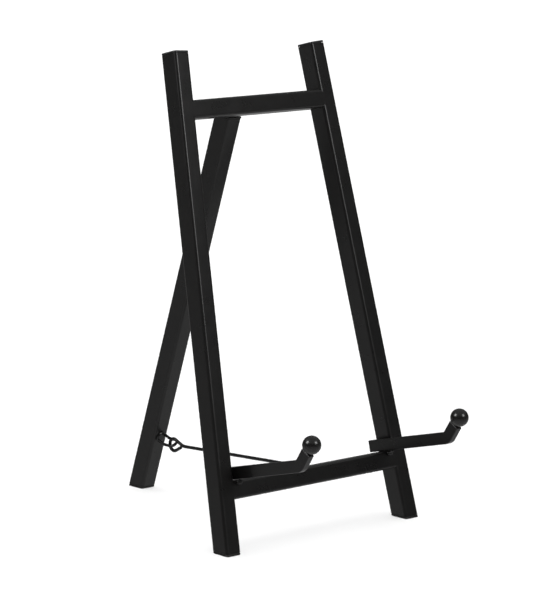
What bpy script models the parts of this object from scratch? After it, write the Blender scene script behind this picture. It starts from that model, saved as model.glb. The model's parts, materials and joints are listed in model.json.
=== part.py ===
"""Folding tabletop display easel of black painted steel tube.

Frame: +Z up, +X to the easel's left-to-right as seen from the front, front towards -Y,
origin on the table at the middle of the easel's outer box. Sizes below are in millimetres
and are turned into metres by MM.
"""
import math

import bmesh
import bpy
from mathutils import Matrix, Vector

MM = 0.001
GAP = 0.3                      # clearance left where two pieces meet

# front frame
LEAN_DEG = 14.1                # front frame's lean from upright
LEG_LENGTH = 336.0             # floor to leg top, measured up the frame's plane
FOOT_SPACING = 165.7           # front legs, centre to centre at the floor
TOP_SPACING = 123.6            # front legs, centre to centre at their tops
TUBE_W = 12.5                  # tube width across the easel, and height of a crossbar
TUBE_D = 15.0                  # tube depth
TUBE_WALL = 1.2
TUBE_EDGE_R = 2.0              # outer corner radius of the tube
TUBE_BORE_R = 0.4              # least corner radius inside the tube
TOP_BAR_UP = 290.0             # underside of the top crossbar, up the frame's plane
BOTTOM_BAR_UP = 36.5           # underside of the bottom crossbar

# plugs and pads in the tube ends
CAP_T = 1.5
CAP_EDGE = 0.5
PLUG_DEPTH = 8.0
PLUG_CLEAR = 0.3

# hook arms and their ball tips
ARM_T = 4.8
ARM_H = 8.3
ARM_OUT = 59.8                 # frame front to the arm's bend
ARM_BACK = 14.8                # how far the arm runs back over the crossbar
ARM_LEG_CLEAR = 2.4            # between an arm and the leg beside it
ARM_SEAT = 0.5                 # weld gap under the arm
ARM_BEND_DEG = 43.5
ARM_TIP = 10.6                 # upturned length beyond the bend
ARM_BEND_R = 3.0
ARM_EDGE = 0.6
BALL_D = 12.5
BALL_FLAT = 0.45               # how deep the ball's seat is ground flat
WELD_HALF = (2.9, 1.0, 1.1)    # half sizes of a weld bead
WELD_OUT = 1.6                 # bead's middle, towards the leg from the arm's middle

# rear leg and its hinge
REAR_LEAN_DEG = 17.75
PIN_SETBACK = 15.0             # pin behind the top crossbar's back face
PIN_RISE = 5.0                 # pin above the top crossbar's underside
PIN_IN_LEG = 5.0               # pin behind the rear leg's front face
HINGE_L = 12.5
HINGE_MID = 4.4                # length of the middle knuckle
LEAF_T = 0.8
LEAF_FLANGE = 9.0              # flange that lies on the crossbar's back face
LEG_LEAF_W = 11.0
BARREL_R = 2.0
PIN_R = 1.0
PIN_CLEAR = 0.1
PIN_HEAD_R = 1.6
PIN_HEAD_T = 0.7
KNUCKLE_GAP = 0.3

# wire stay and the two eyes it joins
STAY_WIRE = 2.4
EYE_WIRE = 2.1
WIRE_CLEAR = 0.3
EYE_UP = 39.8                  # height above the table where the eye leaves the rear leg
EYE_STUB = 7.5                 # square to the leg before the eye levels out
EYE_REACH = 6.3                # level length up to the eye's round end
EYE_TURN_DEG = 54.0            # the eye's flat side, turned from upright
EYE_BEND_R = 5.0
EYE_PAD_R = 3.9
EYE_PAD_T = 1.0
LOOP_BORE_R = 3.1              # clear inside of the stay's end loop
LOOP_R = LOOP_BORE_R + STAY_WIRE / 2
LOOP_NECK = 9.8                # loop centre to the point where the loop closes
LOOP_OPEN = STAY_WIRE + WIRE_CLEAR    # wire end left short of that point
LOOP_BACK = 1.8                # loop centre behind the middle of the eye's round end
LOOP_DROP = 1.1                # loop centre below it
HOOK_DROP = 9.0
HOOK_BEND_R = 2.6
HOOK_ABOVE_BAR = 0.8           # stay's middle line above the bottom crossbar where it turns down
HOOK_BEHIND_BAR = 1.3          # bare space between the hook and the crossbar
BAR_EYE_DOWN = 4.6             # bar eye below the bottom crossbar's top

LEAN = math.radians(LEAN_DEG)
REAR_LEAN = math.radians(REAR_LEAN_DEG)
SPLAY = math.atan((FOOT_SPACING - TOP_SPACING) / 2 / LEG_LENGTH)
BIG = LEG_LENGTH

# how finely curves are divided
ROUND = 32                     # sides of a cylinder
BALL_SIDES = 28
BALL_RINGS = 18
BEAD_SIDES = 16
BEAD_RINGS = 10
EDGE_STEPS = 4                 # tube corner
BEND_STEPS = 6                 # bend in a bar or a wire
CREASE_STEPS = 3               # inner side of the arm's bend
TURN_STEPS = 12                # half turn of an eye
LOOP_STEPS = 18                # stay's end loop
FINE = 2                       # small broken edges and a wire's section

# edges sharper than these, in degrees, stay sharp or are broken
SHARP_DEG = 35.0
WIRE_SHARP_DEG = 50.0
RIM_SHARP_DEG = 50.0
ARM_SHARP_DEG = 40.0
STRAIGHT = 0.99                # how nearly an edge or a face must point along an axis
END_REACH = 0.01               # how near an end an edge must be to belong to it


# ---------------------------------------------------------------- places

def frame_yz(up, forward):
    """World (y, z) of a point up the frame's plane and forward of its face, before centring."""
    return (up * math.sin(LEAN) - forward * math.cos(LEAN),
            up * math.cos(LEAN) + forward * math.sin(LEAN))


PIN_UP = TOP_BAR_UP + PIN_RISE
PIN_FORWARD = -(TUBE_D + PIN_SETBACK)
PIN_Y, PIN_Z = frame_yz(PIN_UP, PIN_FORWARD)
REAR_FACE_Y = PIN_Y + (PIN_Z * math.sin(REAR_LEAN) - PIN_IN_LEG) / math.cos(REAR_LEAN)
REAR_BACK_Y = REAR_FACE_Y + TUBE_D / math.cos(REAR_LEAN)

BAR_TOP_UP = BOTTOM_BAR_UP + TUBE_W
ARM_UP = BAR_TOP_UP + ARM_SEAT
BEND = math.radians(ARM_BEND_DEG)
TIP_DIR = (math.cos(BEND), math.sin(BEND))
TIP_DOWN = (math.sin(BEND), -math.cos(BEND))
BALL_REACH = ARM_TIP + GAP + BALL_D / 2 - BALL_FLAT
BALL_FORWARD = ARM_OUT + BALL_REACH * TIP_DIR[0] + ARM_H / 2 * TIP_DOWN[0]
BALL_UP = ARM_UP + ARM_H + BALL_REACH * TIP_DIR[1] + ARM_H / 2 * TIP_DOWN[1]
FRONT_Y = frame_yz(BALL_UP, BALL_FORWARD)[0] - BALL_D / 2
CENTRE_Y = -(FRONT_Y + REAR_BACK_Y) / 2


def leg_centre_x(up):
    """Distance of a front leg's middle from the easel's middle, at a height up the frame."""
    return FOOT_SPACING / 2 - up * math.tan(SPLAY)


ARM_X = (leg_centre_x(ARM_UP + ARM_H) - TUBE_W / 2 / math.cos(SPLAY)
         - ARM_LEG_CLEAR - ARM_T / 2)


# ---------------------------------------------------------------- scene helpers

def clear_scene():
    for old in list(bpy.data.objects):
        bpy.data.objects.remove(old, do_unlink=True)


def new_collection(name):
    made = bpy.data.collections.new(name)
    bpy.context.scene.collection.children.link(made)
    return made


def make_material(name, colour, roughness, metallic):
    made = bpy.data.materials.new(name)
    made.use_nodes = True
    shader = made.node_tree.nodes["Principled BSDF"]
    shader.inputs["Base Color"].default_value = (*colour, 1.0)
    shader.inputs["Roughness"].default_value = roughness
    shader.inputs["Metallic"].default_value = metallic
    return made


def add_empty(name, location, tilt):
    empty = bpy.data.objects.new(name, None)
    empty.rotation_euler = (tilt, 0.0, 0.0)
    empty.location = [v * MM for v in location]
    empty.empty_display_size = 0.02
    PARTS.objects.link(empty)
    return empty


def add_object(name, mesh, material, parent, cutter=False):
    obj = bpy.data.objects.new(name, mesh)
    (CUTTERS if cutter else PARTS).objects.link(obj)
    obj.parent = parent
    if cutter:
        obj.hide_render = True
        obj.display_type = "WIRE"
    else:
        mesh.materials.clear()
        mesh.materials.append(material)
    return obj


def finish_bmesh(bm, name, matrix=None):
    if matrix is not None:
        bmesh.ops.transform(bm, matrix=matrix, verts=bm.verts)
    bmesh.ops.scale(bm, vec=(MM, MM, MM), verts=bm.verts)
    mesh = bpy.data.meshes.new(name)
    bm.to_mesh(mesh)
    bm.free()
    return mesh


def block(size, centre):
    """A cube primitive brought to a size, with its middle at a point."""
    bm = bmesh.new()
    bmesh.ops.create_cube(bm, size=1.0)
    bmesh.ops.scale(bm, vec=size, verts=bm.verts)
    bmesh.ops.translate(bm, vec=centre, verts=bm.verts)
    return bm


def round_long_edges(bm, radius, steps):
    """Round the four edges that run along Z."""
    long_edges = [e for e in bm.edges
                  if abs((e.verts[0].co - e.verts[1].co).normalized().z) > STRAIGHT]
    bmesh.ops.bevel(bm, geom=long_edges, offset=radius, segments=steps, profile=0.5,
                    affect="EDGES", offset_type="OFFSET")


def section_prism(inset, low, high, y_front):
    """A solid of the tube's section, made smaller all round by inset, from low to high."""
    width = TUBE_W - 2 * inset
    depth = TUBE_D - 2 * inset
    bm = block((width, depth, high - low), (0, y_front + TUBE_D / 2, (low + high) / 2))
    round_long_edges(bm, max(TUBE_EDGE_R - inset, TUBE_BORE_R), EDGE_STEPS)
    return bm


def cut(obj, cutter, operation="DIFFERENCE"):
    boolean = obj.modifiers.new(operation.lower(), "BOOLEAN")
    boolean.operation = operation
    boolean.solver = "EXACT"
    boolean.object = cutter


def cylinder_x(radius, x_low, x_high, y=0.0, z=0.0):
    """A cylinder primitive lying along X."""
    bm = bmesh.new()
    bmesh.ops.create_cone(bm, cap_ends=True, segments=ROUND, radius1=radius, radius2=radius,
                          depth=x_high - x_low)
    turn = Matrix.Rotation(math.pi / 2, 4, "Y")
    bmesh.ops.transform(bm, matrix=turn, verts=bm.verts)
    bmesh.ops.translate(bm, vec=((x_low + x_high) / 2, y, z), verts=bm.verts)
    return bm


def smooth_round(mesh, degrees=SHARP_DEG):
    mesh.shade_smooth()
    mesh.set_sharp_from_angle(angle=math.radians(degrees))


# ---------------------------------------------------------------- tube members

def open_ended_tube(bm):
    """Take the end faces off a prism, so that its walls can be given a thickness."""
    ends = [f for f in bm.faces if abs(f.normal.z) > STRAIGHT]
    bmesh.ops.delete(bm, geom=ends, context="FACES_ONLY")


def add_walls(obj):
    walls = obj.modifiers.new("walls", "SOLIDIFY")
    walls.thickness = TUBE_WALL * MM
    walls.offset = -1.0
    walls.use_even_offset = True
    walls.use_rim = True


def tube_member(name, parent, matrix, low, high, y_front):
    """Hollow tube along the local Z axis, placed by matrix in its parent's frame."""
    bm = section_prism(0.0, low, high, y_front)
    open_ended_tube(bm)
    mesh = finish_bmesh(bm, name)
    obj = add_object(name, mesh, PAINT, parent)
    obj.matrix_local = matrix
    add_walls(obj)
    smooth_round(mesh)
    return obj


def leg_matrix(side):
    """Front leg's place in the frame: its foot, splayed outwards on its own side."""
    foot = Vector((side * FOOT_SPACING / 2 * MM, 0.0, 0.0))
    return Matrix.Translation(foot) @ Matrix.Rotation(-side * SPLAY, 4, "Y")


def leg_run():
    """Front leg's own length, from the floor's level to the top of its end plug."""
    return LEG_LENGTH / math.cos(SPLAY)


def front_leg(side, word):
    leg = tube_member(f"{word}_front_leg", FRAME, leg_matrix(side),
                      -TUBE_D, leg_run() - CAP_T - GAP, 0.0)
    cut(leg, GROUND)
    return leg


def top_plug(side, word):
    """Plug in a front leg's top: a cap as wide as the tube, on a stub inside it."""
    top = leg_run()
    bm = section_prism(0.0, top - CAP_T, top, 0.0)
    rim = [e for e in bm.edges if min(v.co.z for v in e.verts) > top - END_REACH]
    bmesh.ops.bevel(bm, geom=rim, offset=CAP_EDGE, segments=FINE, profile=0.5, affect="EDGES")
    mesh = finish_bmesh(bm, f"{word}_top_plug")
    plug = add_object(f"{word}_top_plug", mesh, PLASTIC, FRAME)
    plug.matrix_local = leg_matrix(side)
    stub = section_prism(TUBE_WALL + PLUG_CLEAR, top - CAP_T - PLUG_DEPTH, top - CAP_T / 2, 0.0)
    stub_obj = add_object(f"{word}_top_stub_tool", finish_bmesh(stub, "stub"), None, FRAME, True)
    stub_obj.matrix_local = leg_matrix(side)
    cut(plug, stub_obj, "UNION")
    smooth_round(mesh)
    return plug


def foot_pad(name, parent, matrix, y_front, floor_z):
    """Pad under a leg, level with the table, on a stub inside the tube."""
    bm = section_prism(0.0, floor_z - TUBE_D, floor_z + TUBE_D, y_front)
    mesh = finish_bmesh(bm, name)
    pad = add_object(name, mesh, PLASTIC, parent)
    pad.matrix_local = matrix
    stub = section_prism(TUBE_WALL + PLUG_CLEAR, floor_z - TUBE_D,
                         floor_z + PLUG_DEPTH, y_front)
    stub_obj = add_object(f"{name}_stub_tool", finish_bmesh(stub, "stub"), None, parent, True)
    stub_obj.matrix_local = matrix
    cut(stub_obj, STUB_ROOM, "INTERSECT")
    cut(pad, PAD_SLAB, "INTERSECT")
    rim = pad.modifiers.new("rim", "BEVEL")
    rim.width = CAP_EDGE * MM
    rim.segments = FINE
    rim.limit_method = "ANGLE"
    rim.angle_limit = math.radians(RIM_SHARP_DEG)
    cut(pad, stub_obj, "UNION")
    smooth_round(mesh)
    return pad


def leg_side_cutter(side, word):
    """Everything from a front leg's inner side outwards, less the gap."""
    inner = -side * (TUBE_W / 2 + GAP)
    centre_x = inner + side * BIG / 2
    bm = block((BIG, 4 * TUBE_D, 2 * BIG), (centre_x, TUBE_D / 2, BIG))
    cutter = add_object(f"{word}_leg_side_tool", finish_bmesh(bm, "side"), None, FRAME, True)
    cutter.matrix_local = leg_matrix(side)
    return cutter


def crossbar(name, up, side_cutters):
    """Crossbar flush with the legs' front faces, its ends cut to their inner sides."""
    half = FOOT_SPACING / 2
    bm = block((TUBE_W, TUBE_D, 2 * half), (0, TUBE_D / 2, 0))
    round_long_edges(bm, TUBE_EDGE_R, EDGE_STEPS)
    open_ended_tube(bm)
    bmesh.ops.transform(bm, matrix=Matrix.Rotation(math.pi / 2, 4, "Y"), verts=bm.verts)
    bmesh.ops.translate(bm, vec=(0, 0, up + TUBE_W / 2), verts=bm.verts)
    mesh = finish_bmesh(bm, name)
    bar = add_object(name, mesh, PAINT, FRAME)
    add_walls(bar)
    for cutter in side_cutters:
        cut(bar, cutter)
    smooth_round(mesh)
    return bar


# ---------------------------------------------------------------- hook arms

def rounded_corner(before, corner, after, radius, steps):
    """Points of an arc that rounds a corner of a flat or bent line."""
    corner = Vector(corner)
    to_before = (Vector(before) - corner).normalized()
    to_after = (Vector(after) - corner).normalized()
    half = to_before.angle(to_after) / 2
    reach = radius / math.tan(half)
    centre = corner + (to_before + to_after).normalized() * (radius / math.sin(half))
    start = corner + to_before * reach - centre
    end = corner + to_after * reach - centre
    turn = start.angle(end)
    return [centre + (start * math.sin(turn * (1 - i / steps)) + end * math.sin(turn * i / steps))
            / math.sin(turn) for i in range(steps + 1)]


def arm_outline():
    """Side view of an arm as (forward, up): the bar, its bend and the upturned end."""
    top = ARM_UP + ARM_H
    inner = Vector((ARM_OUT, top, 0))
    tip_top = inner + Vector((*TIP_DIR, 0)) * ARM_TIP
    tip_bottom = tip_top + Vector((*TIP_DOWN, 0)) * ARM_H
    outer = inner + Vector((math.tan(BEND / 2), -1, 0)) * ARM_H
    back_top = Vector((-ARM_BACK, top, 0))
    back_bottom = Vector((-ARM_BACK, ARM_UP, 0))
    points = [back_bottom]
    points += rounded_corner(back_bottom, outer, tip_bottom, ARM_BEND_R, BEND_STEPS)
    points += [tip_bottom, tip_top]
    points += rounded_corner(tip_top, inner, back_top, ARM_EDGE, CREASE_STEPS)
    points.append(back_top)
    return points


def mesh_from_curve(curve_obj):
    """Turn a curve object into a mesh with its caps joined on, and drop the curve."""
    bpy.context.view_layer.update()
    graph = bpy.context.evaluated_depsgraph_get()
    mesh = bpy.data.meshes.new_from_object(curve_obj.evaluated_get(graph))
    bm = bmesh.new()
    bm.from_mesh(mesh)
    bmesh.ops.remove_doubles(bm, verts=bm.verts, dist=0.00001)
    bmesh.ops.recalc_face_normals(bm, faces=bm.faces)
    bm.to_mesh(mesh)
    bm.free()
    bpy.data.objects.remove(curve_obj, do_unlink=True)
    return mesh


def outline_solid(name, points, thickness):
    """Flat outline given half its thickness each way along local Z."""
    curve = bpy.data.curves.new(name, "CURVE")
    curve.dimensions = "2D"
    curve.fill_mode = "BOTH"
    curve.extrude = thickness / 2 * MM
    spline = curve.splines.new("POLY")
    spline.points.add(len(points) - 1)
    for slot, point in zip(spline.points, points):
        slot.co = (point[0] * MM, point[1] * MM, 0.0, 1.0)
    spline.use_cyclic_u = True
    obj = bpy.data.objects.new(name, curve)
    PARTS.objects.link(obj)
    return mesh_from_curve(obj)


def hook_arm(side, word):
    name = f"{word}_hook_arm"
    mesh = outline_solid(name, arm_outline(), ARM_T)
    arm = add_object(name, mesh, PAINT, FRAME)
    # the outline's forward is the frame's -Y and its up the frame's Z
    stand = Matrix(((0, 0, -1, side * ARM_X * MM), (-1, 0, 0, 0), (0, 1, 0, 0), (0, 0, 0, 1)))
    mesh.transform(stand)
    edges = arm.modifiers.new("edges", "BEVEL")
    edges.width = ARM_EDGE * MM
    edges.segments = FINE
    edges.limit_method = "ANGLE"
    edges.angle_limit = math.radians(ARM_SHARP_DEG)
    smooth_round(mesh)
    return arm


def ball_tip(side, word):
    """Ball with a small ground flat that sits on the arm's end."""
    name = f"{word}_ball_tip"
    bm = bmesh.new()
    bmesh.ops.create_uvsphere(bm, u_segments=BALL_SIDES, v_segments=BALL_RINGS, radius=BALL_D / 2)
    flat = bmesh.ops.bisect_plane(bm, geom=bm.verts[:] + bm.edges[:] + bm.faces[:],
                                  plane_co=(0, 0, -(BALL_D / 2 - BALL_FLAT)),
                                  plane_no=(0, 0, -1), clear_outer=True)
    rim = [g for g in flat["geom_cut"] if isinstance(g, bmesh.types.BMEdge)]
    bmesh.ops.contextual_create(bm, geom=rim)
    # local +Z leaves the arm along its upturned end
    tilt = Matrix.Rotation(math.pi / 2 - BEND, 4, "X")
    place = Matrix.Translation((side * ARM_X, -BALL_FORWARD, BALL_UP))
    mesh = finish_bmesh(bm, name, place @ tilt)
    smooth_round(mesh)
    return add_object(name, mesh, GLOSS, FRAME)


def arm_weld(side, word):
    """Weld bead where an arm crosses the bottom crossbar's front edge."""
    name = f"{word}_arm_weld"
    bm = bmesh.new()
    bmesh.ops.create_uvsphere(bm, u_segments=BEAD_SIDES, v_segments=BEAD_RINGS, radius=1.0)
    bmesh.ops.scale(bm, vec=WELD_HALF, verts=bm.verts)
    place = Matrix.Translation((side * (ARM_X + WELD_OUT), -(GAP + WELD_HALF[1]),
                                ARM_UP - GAP - WELD_HALF[2]))
    mesh = finish_bmesh(bm, name, place)
    smooth_round(mesh)
    return add_object(name, mesh, PAINT, FRAME)


# ---------------------------------------------------------------- rear hinge

def knuckle(name, parent, x_low, x_high, y, z):
    mesh = finish_bmesh(cylinder_x(BARREL_R, x_low, x_high, y, z), name)
    smooth_round(mesh)
    return add_object(name, mesh, None, parent, True)


def pin_bore(name, parent, y, z):
    mesh = finish_bmesh(cylinder_x(PIN_R + PIN_CLEAR, -HINGE_L, HINGE_L, y, z), name)
    smooth_round(mesh)
    return add_object(name, mesh, None, parent, True)


def frame_leaf():
    """Angle leaf: a flange on the top crossbar's back face and a shelf out to the pin."""
    back = TUBE_D + GAP
    pin_y = -PIN_FORWARD
    low = PIN_UP - BARREL_R
    shelf = block((HINGE_L, pin_y - back, LEAF_T), (0, (back + pin_y) / 2, low + LEAF_T / 2))
    leaf = add_object("hinge_frame_leaf", finish_bmesh(shelf, "frame_leaf"), STEEL, FRAME)
    flange = block((HINGE_L, LEAF_T, LEAF_FLANGE), (0, back + LEAF_T / 2, low + LEAF_FLANGE / 2))
    flange_obj = add_object("frame_leaf_flange_tool", finish_bmesh(flange, "flange"),
                            None, FRAME, True)
    notch_x = HINGE_MID + 2 * KNUCKLE_GAP
    notch_y = 2 * (BARREL_R + KNUCKLE_GAP)
    notch = block((notch_x, notch_y, 3 * BARREL_R), (0, pin_y, PIN_UP))
    notch_obj = add_object("frame_leaf_notch_tool", finish_bmesh(notch, "notch"),
                           None, FRAME, True)
    cut(leaf, flange_obj, "UNION")
    for side, word in SIDES:
        ends = sorted((side * HINGE_L / 2, side * notch_x / 2))
        cut(leaf, knuckle(f"frame_knuckle_{word}_tool", FRAME, ends[0], ends[1], pin_y, PIN_UP),
            "UNION")
    cut(leaf, notch_obj)
    cut(leaf, pin_bore("frame_bore_tool", FRAME, pin_y, PIN_UP))
    return leaf


def leg_leaf():
    """Leaf on the rear leg's end, with the middle knuckle standing on it."""
    top = -(BARREL_R + GAP)
    y_mid = LEG_LEAF_W / 2 - PIN_IN_LEG
    plate = block((HINGE_L, LEG_LEAF_W, LEAF_T), (0, y_mid, top - LEAF_T / 2))
    leaf = add_object("hinge_leg_leaf", finish_bmesh(plate, "leg_leaf"), STEEL, FOLD)
    foot = block((HINGE_MID, BARREL_R, BARREL_R + GAP + LEAF_T / 2),
                 (0, 0, (top - LEAF_T / 2) / 2))
    foot_obj = add_object("leg_knuckle_foot_tool", finish_bmesh(foot, "foot"), None, FOLD, True)
    cut(leaf, foot_obj, "UNION")
    cut(leaf, knuckle("leg_knuckle_tool", FOLD, -HINGE_MID / 2, HINGE_MID / 2, 0, 0), "UNION")
    cut(leaf, pin_bore("leg_bore_tool", FOLD, 0, 0))
    return leaf


def hinge_pin():
    """Pin through the three knuckles, with a flat head at each end."""
    reach = HINGE_L / 2 + GAP
    bm = cylinder_x(PIN_R, -reach - PIN_HEAD_T / 2, reach + PIN_HEAD_T / 2)
    mesh = finish_bmesh(bm, "hinge_pin")
    pin = add_object("hinge_pin", mesh, STEEL, FRAME)
    pin.location = (0.0, -PIN_FORWARD * MM, PIN_UP * MM)
    for side, word in SIDES:
        ends = sorted((side * reach, side * (reach + PIN_HEAD_T)))
        bm = cylinder_x(PIN_HEAD_R, ends[0], ends[1], -PIN_FORWARD, PIN_UP)
        head = finish_bmesh(bm, "head")
        smooth_round(head)
        cut(pin, add_object(f"pin_head_{word}_tool", head, None, FRAME, True), "UNION")
    smooth_round(mesh)
    return pin


# ---------------------------------------------------------------- rear leg

def rear_leg():
    """Rear leg hanging from the hinge pin, its length set by where the table is."""
    top = -(BARREL_R + GAP + LEAF_T + GAP)
    bottom = -PIN_Z / math.cos(REAR_LEAN) - 2 * TUBE_D
    leg = tube_member("rear_leg", FOLD, Matrix.Identity(4), bottom, top, -PIN_IN_LEG)
    cut(leg, GROUND)
    return leg


def rear_foot_pad():
    middle = TUBE_D / 2 - PIN_IN_LEG
    floor_z = -PIN_Z / math.cos(REAR_LEAN) - middle * math.tan(REAR_LEAN)
    return foot_pad("rear_foot_pad", FOLD, Matrix.Identity(4), -PIN_IN_LEG, floor_z)


# ---------------------------------------------------------------- wire stay and eyes

def bent_line(points, radii, steps=BEND_STEPS):
    """A run of straight lines with its corners rounded, one radius for each inner point."""
    line = [Vector(points[0])]
    for before, corner, after, radius in zip(points, points[1:], points[2:], radii):
        line += rounded_corner(before, corner, after, radius, steps)
    line.append(Vector(points[-1]))
    return line


def wire(name, points, diameter, material, parent):
    curve = bpy.data.curves.new(name, "CURVE")
    curve.dimensions = "3D"
    curve.bevel_depth = diameter / 2 * MM
    curve.bevel_resolution = FINE
    curve.use_fill_caps = True
    spline = curve.splines.new("POLY")
    spline.points.add(len(points) - 1)
    for slot, point in zip(spline.points, points):
        slot.co = (point[0] * MM, point[1] * MM, point[2] * MM, 1.0)
    obj = bpy.data.objects.new(name + "_line", curve)
    PARTS.objects.link(obj)
    mesh = mesh_from_curve(obj)
    mesh.name = name
    smooth_round(mesh, WIRE_SHARP_DEG)
    return add_object(name, mesh, material, parent)


def half_turn(centre, out, across, radius, steps):
    """Points of a half circle from +across through out to -across."""
    return [centre + across * (radius * math.cos(math.pi * i / steps))
            + out * (radius * math.sin(math.pi * i / steps)) for i in range(steps + 1)]


EYE_HALF = (STAY_WIRE / 2 + WIRE_CLEAR + EYE_WIRE / 2) / math.sin(math.radians(EYE_TURN_DEG))
BAR_EYE_HALF = STAY_WIRE / 2 + WIRE_CLEAR + EYE_WIRE / 2


def eye_places():
    """Eye's root, elbow and round end's centre, in the rear leg's frame (middle plane)."""
    root_z = (EYE_UP - PIN_Z + PIN_IN_LEG * math.sin(REAR_LEAN)) / math.cos(REAR_LEAN)
    square = Vector((0, -1, 0))
    level = Vector((0, -math.cos(REAR_LEAN), math.sin(REAR_LEAN)))
    face = Vector((0, -PIN_IN_LEG, root_z))
    root = face + square * (2 * GAP + EYE_PAD_T)
    elbow = face + square * EYE_STUB
    end = elbow + level * EYE_REACH
    return face, root, elbow, end, square, level


def leg_eye():
    """Closed wire eye that stands out of the rear leg's front face."""
    _, root, elbow, end, square, level = eye_places()
    turn = math.radians(EYE_TURN_DEG)
    points = []
    for direction in (1, -1):
        run = []
        for place, ahead in ((root, square), (elbow, (square + level).normalized()),
                             (end, level)):
            upright = Vector((1, 0, 0)).cross(ahead)
            if upright.z < 0:
                upright.negate()
            side = Vector((math.sin(turn), 0, 0)) + upright * math.cos(turn)
            run.append(place + side * (direction * EYE_HALF))
        strand = bent_line(run, [EYE_BEND_R])
        points.append(strand)
    upright = Vector((1, 0, 0)).cross(level)
    if upright.z < 0:
        upright.negate()
    side = Vector((math.sin(turn), 0, 0)) + upright * math.cos(turn)
    arc = half_turn(end, level, side, EYE_HALF, TURN_STEPS)
    line = points[0][:-1] + arc + list(reversed(points[1]))[1:]
    return wire("leg_eye", line, EYE_WIRE, STEEL, FOLD)


def leg_eye_weld():
    """Round weld pad that the eye's two ends leave from."""
    face, _, _, _, square, _ = eye_places()
    bm = bmesh.new()
    bmesh.ops.create_cone(bm, cap_ends=True, segments=ROUND, radius1=EYE_PAD_R,
                          radius2=EYE_PAD_R - EYE_PAD_T, depth=EYE_PAD_T)
    turn = Matrix.Rotation(math.pi / 2, 4, "X")
    middle = face + square * (GAP + EYE_PAD_T / 2)
    mesh = finish_bmesh(bm, "leg_eye_weld", Matrix.Translation(middle) @ turn)
    smooth_round(mesh)
    return add_object("leg_eye_weld", mesh, PAINT, FOLD)


def bar_eye():
    """U-shaped eye on the bottom crossbar's back face that takes the stay's hook."""
    out = Vector((0, 1, 0))
    across = Vector((1, 0, 0))
    up = BAR_TOP_UP - BAR_EYE_DOWN
    centre = Vector((0, TUBE_D + HOOK_BEHIND_BAR + STAY_WIRE / 2, up))
    foot = Vector((0, TUBE_D + GAP, up))
    arc = half_turn(centre, out, across, BAR_EYE_HALF, TURN_STEPS)
    line = [foot + across * BAR_EYE_HALF] + arc + [foot - across * BAR_EYE_HALF]
    return wire("bar_eye", line, EYE_WIRE, STEEL, FRAME)


def world_from_rear(point):
    """World (y, z) in millimetres, before centring, of a point in the rear leg's frame."""
    cos, sin = math.cos(REAR_LEAN), math.sin(REAR_LEAN)
    return PIN_Y + point.y * cos - point.z * sin, PIN_Z + point.y * sin + point.z * cos


def stay_places():
    """Loop centre and hook corner in world (y, z), and the stay's rise towards the hook."""
    _, _, _, end, _, _ = eye_places()
    y, z = world_from_rear(end)
    loop = (y - EYE_HALF + LOOP_BACK, z - LOOP_DROP)
    hook = frame_yz(BAR_TOP_UP + HOOK_ABOVE_BAR, -(TUBE_D + HOOK_BEHIND_BAR + STAY_WIRE / 2))
    rise = math.atan2(hook[1] - loop[1], loop[0] - hook[0])
    return loop, hook, rise


def stay_hook():
    """Wire stay: a closed loop on the leg's eye, a straight run and a hook in the bar's eye.

    The local frame has its origin at the loop's centre and -Y towards the hook.
    """
    loop, hook, rise = stay_places()
    length = math.hypot(hook[0] - loop[0], hook[1] - loop[1])
    tangent = math.acos(LOOP_R / LOOP_NECK)
    sweep = 2 * (math.pi - tangent)
    circle = []
    for i in range(LOOP_STEPS + 1):
        angle = tangent + sweep * i / LOOP_STEPS
        circle.append(Vector((0, -LOOP_R * math.cos(angle), LOOP_R * math.sin(angle))))
    neck = Vector((0, -LOOP_NECK, 0))
    last = neck + (circle[-1] - neck).normalized() * LOOP_OPEN
    corner = Vector((0, -length, 0))
    drop = -(math.pi / 2 - (LEAN - rise))
    tip = corner + Vector((0, -math.cos(drop), math.sin(drop))) * HOOK_DROP
    run = bent_line([tip, corner, neck, circle[0]], [HOOK_BEND_R, LOOP_NECK])
    line = run[:-1] + circle + [last]
    return wire("stay_hook", line, STAY_WIRE, STEEL, STAY)


# ---------------------------------------------------------------- build

clear_scene()
PARTS = new_collection("folding_display_easel")
CUTTERS = new_collection("cutters")
SIDES = ((-1, "left"), (1, "right"))

PAINT = make_material("black_paint", (0.018, 0.018, 0.019), 0.42, 0.0)
GLOSS = make_material("black_enamel", (0.012, 0.012, 0.012), 0.18, 0.0)
STEEL = make_material("blackened_steel", (0.035, 0.035, 0.036), 0.34, 0.6)
PLASTIC = make_material("black_plastic", (0.02, 0.02, 0.02), 0.5, 0.0)

FRAME = add_empty("front_frame_axis", (0, CENTRE_Y, 0), -LEAN)
FOLD = add_empty("rear_leg_fold_axis", (0, PIN_Y + CENTRE_Y, PIN_Z), REAR_LEAN)
LOOP_AT, _, STAY_RISE = stay_places()
STAY = add_empty("stay_swing_axis", (0, LOOP_AT[0] + CENTRE_Y, LOOP_AT[1]), -STAY_RISE)

GROUND = add_object("ground_tool", finish_bmesh(
    block((3 * BIG, 3 * BIG, BIG), (0, 0, CAP_T + GAP - BIG / 2)), "ground"), None, None, True)
PAD_SLAB = add_object("pad_slab_tool", finish_bmesh(
    block((3 * BIG, 3 * BIG, CAP_T), (0, 0, CAP_T / 2)), "slab"), None, None, True)
STUB_ROOM = add_object("stub_room_tool", finish_bmesh(
    block((3 * BIG, 3 * BIG, BIG), (0, 0, CAP_T / 2 + BIG / 2)), "stub_room"), None, None, True)

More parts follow.
